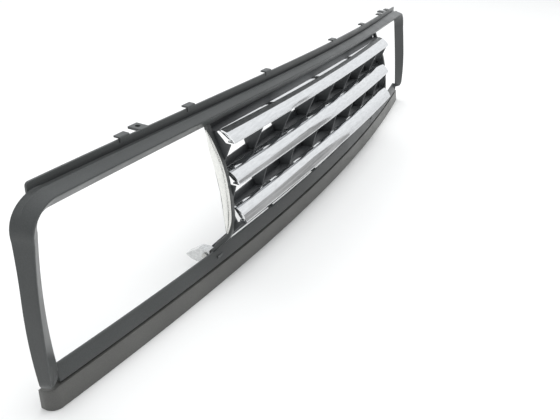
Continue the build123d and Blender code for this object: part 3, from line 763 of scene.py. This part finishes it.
def blade_posts(name):
    """Round posts from the back of a blade through the lattice's pads."""
    for x in both_sides(PAD_X):
        rear, _ = blade_edges(name, x)
        front = rear[0] - POST_SHARE * BLADES[name][2] - POST_ROOT
        tip = rear[0] + POST_TAIL
        profile = [(front, POST_R), (tip - POST_TIP, POST_R), (tip, POST_R - POST_TIP_TAPER)]
        yield turned_y(x, post_height(name, x), profile)


def blade_cap(name):
    """Left closing piece: a shallow dome set just inside the end of the shell."""
    rings = []
    for x, inset in CAP_RINGS:
        rear, lip = blade_edges(name, x)
        top = (rear[0] + CAP_TOP_BACK, rear[1] - INNER_TOP_DROP - CAP_GAP)
        front = (lip[0] + INNER_LIP_BACK + CAP_GAP, lip[1] + BLADE_WALL + CAP_GAP)
        tail = (lip[0] + BLADE_TAIL, lip[1] + BLADE_WALL + CAP_GAP)
        outline = arc(top, front, CAP_BULGE, count=12) + [tail]
        middle = Vector((sum(y for y, _ in outline), sum(z for _, z in outline))) / len(outline)
        pulled = [Vector(p) + (middle - Vector(p)).normalized() * inset for p in outline]
        rings.append([(x, p.x, p.y) for p in pulled])
    return tube(rings)


def build_blades():
    for name in BLADE_NAMES:
        xs = steps(-BLADE_HALF, BLADE_HALF, count=121)
        shell = beam(xs, lambda x: blade_section(name, x))
        piece(name + "_blade_shell", [shell], BLADE_CHROME, [name + "_blade"],
              bevel=0.25)
        piece(name + "_blade_posts", list(blade_posts(name)), BLADE_CHROME, [name + "_blade"])
        cap = blade_cap(name)
        for side, solid in (("left", cap), ("right", mirrored(cap))):
            piece(f"{name}_{side}_end_cap", [solid], CAP_CHROME,
                  [f"{name}_blade_{side}_cap"])


# ---------------------------------------------------------------- lattice behind the blades
def rear_depth(z):
    """Depth of the lattice's rear edge at a height."""
    for (y0, z0), (y1, z1) in zip(REAR_LINE, REAR_LINE[1:]):
        if z1 <= z <= z0:
            return y0 + (y1 - y0) * (z0 - z) / (z0 - z1)
    return REAR_TOP if z > REAR_LINE[0][1] else REAR_FOOT


def rib(x):
    """Upright rib behind the blades, cut to their backs."""
    front = []
    for name in BLADE_NAMES:
        rear, lip = blade_edges(name, x)
        front.append((rear[0] + SHELF_FRONT, rear[1] - RIB_DROP))
        front.append((lip[0] + BLADE_TAIL + RIB_BEHIND_TAIL, lip[1] - RIB_GAP))
        front.append((lip[0] + BLADE_TAIL - RIB_UNDER_TAIL, lip[1] - RIB_GAP))
    front.append((lower_plan(x) + LOWER_EDGE_BACK + SHELF_BEHIND_RAIL, LOWEST_SHELF_Z - RIB_INSET))
    top_z = blade_edges("top", x)[0][1] - SHELF_STEP - SHELF_FALL - RIB_INSET
    rear = [(float(y), float(z)) for y, z in reversed(REAR_LINE)]
    outline = front + rear + [(REAR_TOP - RIB_REAR_INSET, top_z)]
    return slab_x(outline, x - RIB_THICK / 2, x + RIB_THICK / 2)


def shelf(name):
    """Shelf behind a blade's upper edge, with an upstand along its rear."""
    def section(x):
        (y, z), _ = blade_edges(name, x)
        front = y + SHELF_FRONT
        high = z - SHELF_STEP
        low = high - SHELF_FALL
        back = rear_depth(low)
        lift = opening_top(x) - TOP_CLEARANCE if name == "top" else low + UPSTAND
        lean = REAR_TOP - back if name == "top" else UPSTAND_LEAN
        return [
            (front, high), (back - SHELF_THICK, low), (back - SHELF_THICK + lean, lift),
            (back + lean, lift), (back, low - SHELF_THICK), (front, high - SHELF_THICK),
        ]
    return beam(steps(-LATTICE_HALF, LATTICE_HALF, count=41), section)


def lowest_shelf():
    """Flat shelf behind the lower rail."""
    def section(x):
        front = lower_plan(x) + LOWER_EDGE_BACK + SHELF_BEHIND_RAIL
        back = REAR_FOOT
        z = LOWEST_SHELF_Z
        return [(front, z), (back, z), (back, z - SHELF_THICK), (front, z - SHELF_THICK)]
    return beam(steps(-LATTICE_HALF, LATTICE_HALF, count=41), section)


def upright_plate(x, z, hole_r, half, reach, front, rear):
    """Upright plate with a hole along Y; reach is how far it goes down and up from the hole."""
    low, high = reach
    return holed_plate(hole_r, half, low, high, front, rear, lambda a, b, y: (x + a, y, z + b))


def pads():
    """Plates that the blades' posts pass through."""
    for name in BLADE_NAMES:
        for x in both_sides(PAD_X):
            (y, z), (_, lip_z) = blade_edges(name, x)
            centre = post_height(name, x)
            reach = (centre - lip_z - PAD_FOOT_GAP, z - PAD_TOP_GAP - centre)
            yield upright_plate(x, centre, POST_R + PAD_HOLE_PLAY, PAD_HALF, reach,
                                y + PAD_FRONT, y + PAD_REAR)


def ears():
    """Plates above and below the lattice that its screws pass through."""
    for x in both_sides(EAR_X):
        for z, reach, rear in (
            (opening_top(x) + UPPER_EAR_RISE, UPPER_EAR_REACH, REAR_TOP),
            (LOWER_EAR_Z, LOWER_EAR_REACH, REAR_FOOT),
        ):
            yield upright_plate(x, z, EAR_HOLE_R, EAR_HALF_WIDTH, reach, rear - SHELF_THICK, rear)


def build_lattice():
    end_x = LATTICE_HALF - RIB_THICK / 2

    def add(name, solids, bevel):
        piece(name, solids, LATTICE_PLASTIC, ["centre_lattice"], bevel=bevel)

    places = [i * RIB_PITCH for i in range(4)] + [end_x]
    add("lattice_ribs", [rib(x) for x in both_sides(places)], bevel=0.4)
    for name in BLADE_NAMES:
        add(f"lattice_{name}_shelf", [shelf(name)], bevel=0.4)
    add("lattice_lowest_shelf", [lowest_shelf()], bevel=0.4)
    add("lattice_post_pads", list(pads()), bevel=0.3)
    add("lattice_screw_ears", list(ears()), bevel=0.3)


# ---------------------------------------------------------------- chrome cheeks
def side_cheek():
    """Left cheek: a crescent that swells slightly between its two long edges."""
    outer = -UPRIGHT_X - UPRIGHT_THICK
    front = smooth_line(CHEEK_FRONT, per_span=8)
    rear = smooth_line(list(reversed(CHEEK_REAR)), per_span=8)
    rings = []
    for i, ((fy, fz), (ry, rz)) in enumerate(zip(front, rear)):
        t = i / (len(front) - 1)
        line = []
        for s in steps(0.0, 1.0, count=9):
            ends = min(1.0, CHEEK_END_SLOPE * t, CHEEK_END_SLOPE * (1 - t))
            swell = (CHEEK_THICK - CHEEK_EDGE) * math.sin(math.pi * s) * ends
            line.append((outer - CHEEK_EDGE - swell, fy + (ry - fy) * s, fz + (rz - fz) * s))
        rings.append(line + [(outer, y, z) for _, y, z in reversed(line)])
    return tube(rings[1:-1])


def build_cheeks():
    cheek = side_cheek()
    for side, solid in (("left", cheek), ("right", mirrored(cheek))):
        piece(f"{side}_cheek_plate", [solid], CHEEK_CHROME, [f"{side}_side_cheek"])


# ---------------------------------------------------------------- CAD nodes that stay visible
def finish_cad_node(node, material, bevel_mm=0.25):
    """Gives a CAD node its material, and softens its edges by modifiers that leave its vertices alone."""
    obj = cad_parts[node]
    obj.data.materials.clear()
    obj.data.materials.append(material)
    bevel = obj.modifiers.new("edges", "BEVEL")
    bevel.width = bevel_mm * MM
    bevel.segments = 2
    bevel.limit_method = "ANGLE"
    bevel.angle_limit = CAD_BEVEL_ANGLE
    weighted = obj.modifiers.new("weighted normals", "WEIGHTED_NORMAL")
    weighted.keep_sharp = True


def build_metal_parts():
    finish_cad_node("left_lower_bracket", BRACKET_STEEL)
    finish_cad_node("right_lower_bracket", BRACKET_STEEL)
    finish_cad_node("bracket_screws", FASTENER_STEEL)
    finish_cad_node("lattice_screws", FASTENER_STEEL)
    finish_cad_node("blade_push_nuts", FASTENER_STEEL, bevel_mm=0.1)
    finish_cad_node("strip_clips", CLIP_STEEL, bevel_mm=0.1)


# ---------------------------------------------------------------- studio, in metres and watts
FLOOR_SIZE = 30.0
FLOOR_DROP = 0.0002                   # keeps the floor clear of the strip's underside
CARD_ENDS = ((0.75, -1.75), (1.75, -0.85))
CARD_HEIGHT = 1.0
CARD_GLOW = [(0.35, 0.26), (0.65, 0.5)]
BRIGHT_SIDE = (0.60, 0.35, 0.72)      # direction in which the surroundings are brightest
SURROUNDINGS = ((0.15, (0.2, 0.205, 0.21)), (0.85, (0.97, 0.985, 1.0)))
SURROUNDINGS_STRENGTH = 0.95
LAMPS = (                             # name, place, size, power
    ("top", (0.1, 0.3, 2.8), 3.2, 48.0),
    ("fill", (2.2, -1.6, 2.2), 2.6, 8.0),
)
CAMERA_PLACE = (-0.9546, -0.3399, 0.5056)
CAMERA_RIGHT = (0.43716, -0.89720, 0.06262)
CAMERA_UP = (0.40778, 0.25978, 0.87534)
SENSOR_MM = 36.0
LENS_MM = 38.57


def build_floor():
    bpy.ops.mesh.primitive_plane_add(size=FLOOR_SIZE, location=(0.0, 0.0, -FLOOR_DROP))
    floor = bpy.context.object
    floor.name = "floor"
    nodes = Nodes("pale_floor")
    nodes.set("Base Color", nodes.mix(nodes.noise(2.0), (0.93, 0.93, 0.92), (0.96, 0.96, 0.955)))
    nodes.set("Roughness", 0.8)
    nodes.set("Specular IOR Level", 0.1)
    floor.data.materials.append(nodes.material)


def build_card():
    """Grey card to the right of the camera, seen only in reflections."""
    (x0, y0), (x1, y1) = CARD_ENDS
    corners = [(x0, y0, 0.0), (x1, y1, 0.0), (x1, y1, CARD_HEIGHT), (x0, y0, CARD_HEIGHT)]
    mesh = bpy.data.meshes.new("grey_card")
    mesh.from_pydata(corners, [], [(0, 1, 2, 3)])
    card = bpy.data.objects.new("grey_card", mesh)
    bpy.context.scene.collection.objects.link(card)
    nodes = Nodes("grey_card")
    nodes.set("Base Color", (0.0, 0.0, 0.0))
    cloud = nodes.noise(3.0, 3.0, (1.0, 1.0, 2.5))
    nodes.set("Emission Color", nodes.ramp(cloud, CARD_GLOW))
    nodes.set("Emission Strength", 1.0)
    mesh.materials.append(nodes.material)
    card.visible_camera = False
    card.visible_diffuse = False
    card.visible_shadow = False


def build_light():
    """Soft white surroundings, darker on the camera's side, and wide lamps that reflections don't show."""
    world = bpy.data.worlds.new("studio")
    bpy.context.scene.world = world
    world.use_nodes = True
    tree = world.node_tree
    background = tree.nodes["Background"]
    place = tree.nodes.new("ShaderNodeTexCoord")
    side = tree.nodes.new("ShaderNodeVectorMath")
    side.operation = "DOT_PRODUCT"
    side.inputs[1].default_value = BRIGHT_SIDE
    span = tree.nodes.new("ShaderNodeMapRange")
    span.inputs["From Min"].default_value = -1.0
    ramp = tree.nodes.new("ShaderNodeValToRGB")
    tree.links.new(place.outputs["Generated"], side.inputs[0])
    tree.links.new(side.outputs["Value"], span.inputs["Value"])
    tree.links.new(span.outputs["Result"], ramp.inputs["Fac"])
    tree.links.new(ramp.outputs["Color"], background.inputs["Color"])
    for element, (position, colour) in zip(ramp.color_ramp.elements, SURROUNDINGS):
        element.position = position
        element.color = (*colour, 1.0)
    background.inputs["Strength"].default_value = SURROUNDINGS_STRENGTH
    for name, place, size, power in LAMPS:
        data = bpy.data.lights.new(name, "AREA")
        data.size = size
        data.energy = power
        light = bpy.data.objects.new(name, data)
        light.location = place
        light.rotation_euler = (-Vector(place)).to_track_quat("-Z", "Y").to_euler()
        light.visible_glossy = False
        bpy.context.scene.collection.objects.link(light)


def build_camera():
    """Beyond the left end, in front of the grille and above it, and turned towards its middle."""
    data = bpy.data.cameras.new("camera")
    data.sensor_width = SENSOR_MM
    data.lens = LENS_MM
    camera = bpy.data.objects.new("camera", data)
    right = Vector(CAMERA_RIGHT)
    up = Vector(CAMERA_UP)
    back = right.cross(up)
    matrix = camera.matrix_world.to_3x3()
    matrix.col[0], matrix.col[1], matrix.col[2] = right, up, back
    camera.matrix_world = matrix.to_4x4()
    camera.location = CAMERA_PLACE
    bpy.context.scene.collection.objects.link(camera)
    bpy.context.scene.camera = camera


build_frame()
build_strip()
build_blades()
build_lattice()
build_cheeks()
build_metal_parts()
build_floor()
build_card()
build_light()
build_camera()
bpy.context.scene.view_settings.view_transform = "Standard"
